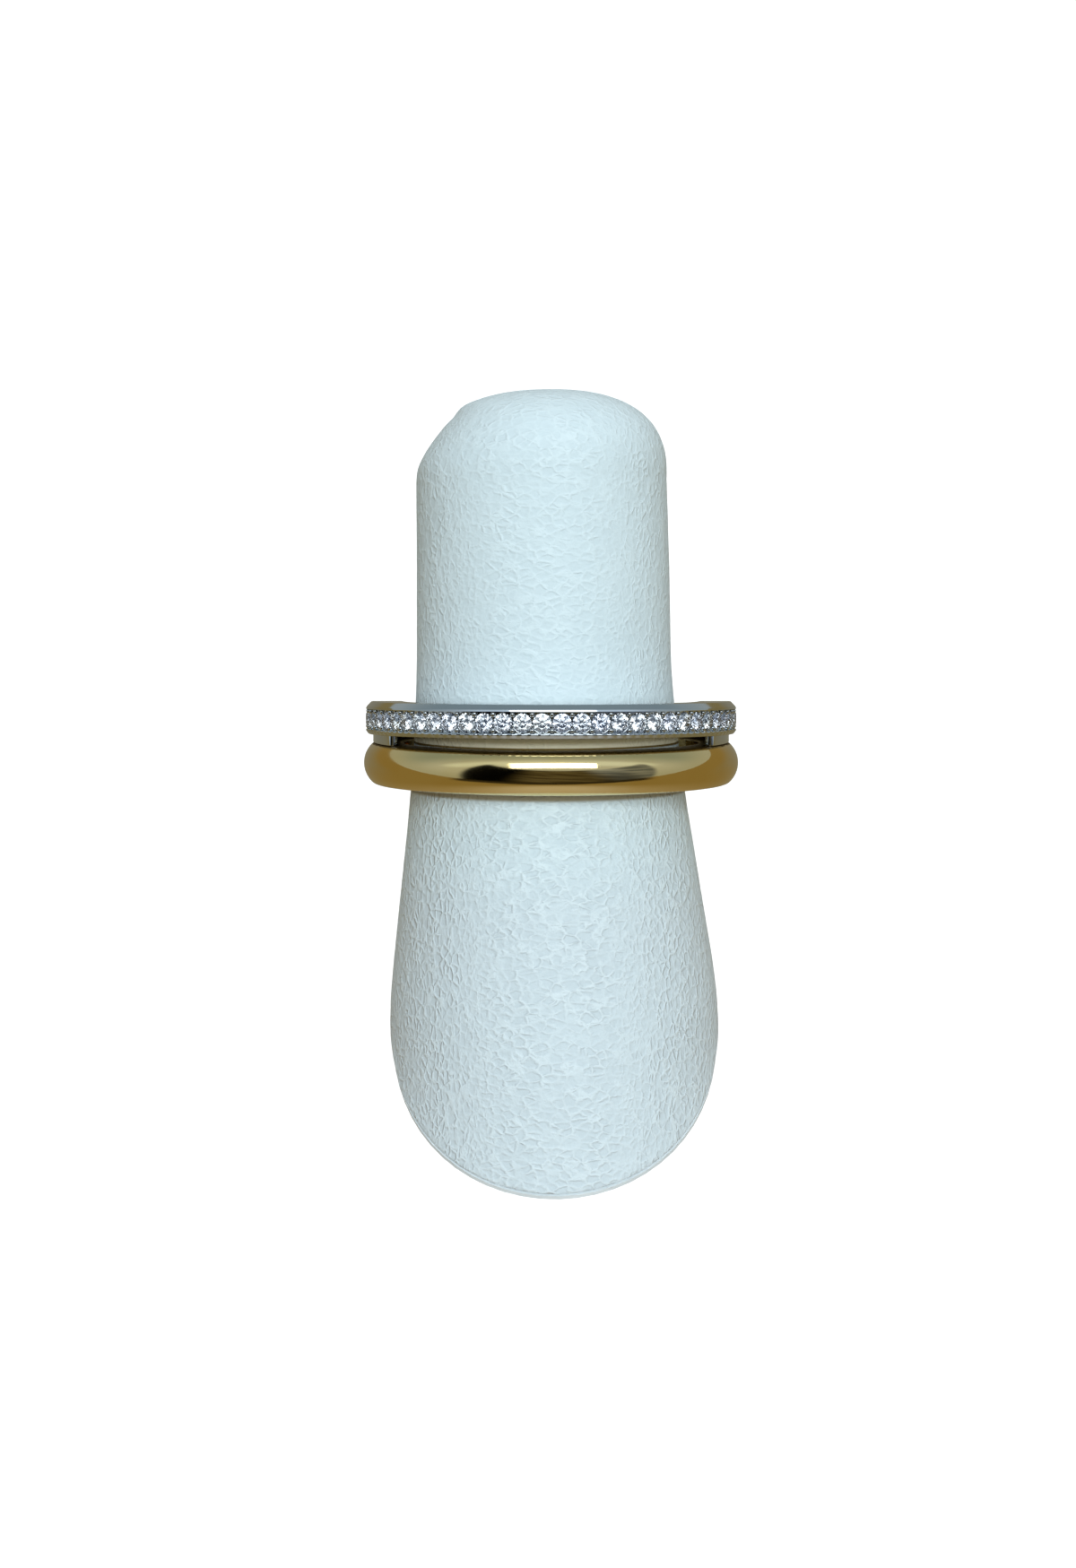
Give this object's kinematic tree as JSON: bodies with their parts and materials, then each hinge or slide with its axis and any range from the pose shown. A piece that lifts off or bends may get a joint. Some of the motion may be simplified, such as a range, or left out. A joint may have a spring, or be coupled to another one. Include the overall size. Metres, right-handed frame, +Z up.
{
  "type": "two-tone double band ring on a finger-shaped display stand",
  "caption": "Ring of a domed yellow band and a stone-set white band, joined at the sides and back, on a padded leatherette finger stand that leans back on a flat foot.",
  "frame": {"origin": "the point where the finger's own line meets the floor, in the middle of the flat foot", "axes": "+Z up from the floor, +Y the way the finger leans back, +X to the right as seen from the ring's front"},
  "size_m": [0.0208, 0.0374, 0.0309],
  "materials": {
    "yellow_gold": "polished",
    "white_gold": "polished",
    "brilliant": "cut and polished",
    "leatherette": "white pebble grain",
    "board": "matt"
  },
  "bodies": {
    "root": {"gold_band": "yellow_gold", "pave_band": "white_gold", "display_finger": "leatherette", "foot_board": "board", "stone_01": "brilliant", "stone_02": "brilliant", "stone_03": "brilliant", "stone_04": "brilliant", "stone_05": "brilliant", "stone_06": "brilliant", "stone_07": "brilliant", "stone_08": "brilliant", "stone_09": "brilliant", "stone_10": "brilliant", "stone_11": "brilliant", "stone_12": "brilliant", "stone_13": "brilliant", "stone_14": "brilliant", "stone_15": "brilliant", "stone_16": "brilliant", "stone_17": "brilliant", "stone_18": "brilliant", "stone_19": "brilliant", "stone_20": "brilliant", "stone_21": "brilliant", "stone_22": "brilliant", "stone_23": "brilliant", "stone_24": "brilliant", "stone_25": "brilliant", "stone_26": "brilliant", "stone_27": "brilliant", "stone_28": "brilliant", "stone_29": "brilliant", "stone_30": "brilliant", "stone_31": "brilliant", "stone_32": "brilliant", "stone_33": "brilliant", "stone_34": "brilliant"}
  },
  "joints": []
}
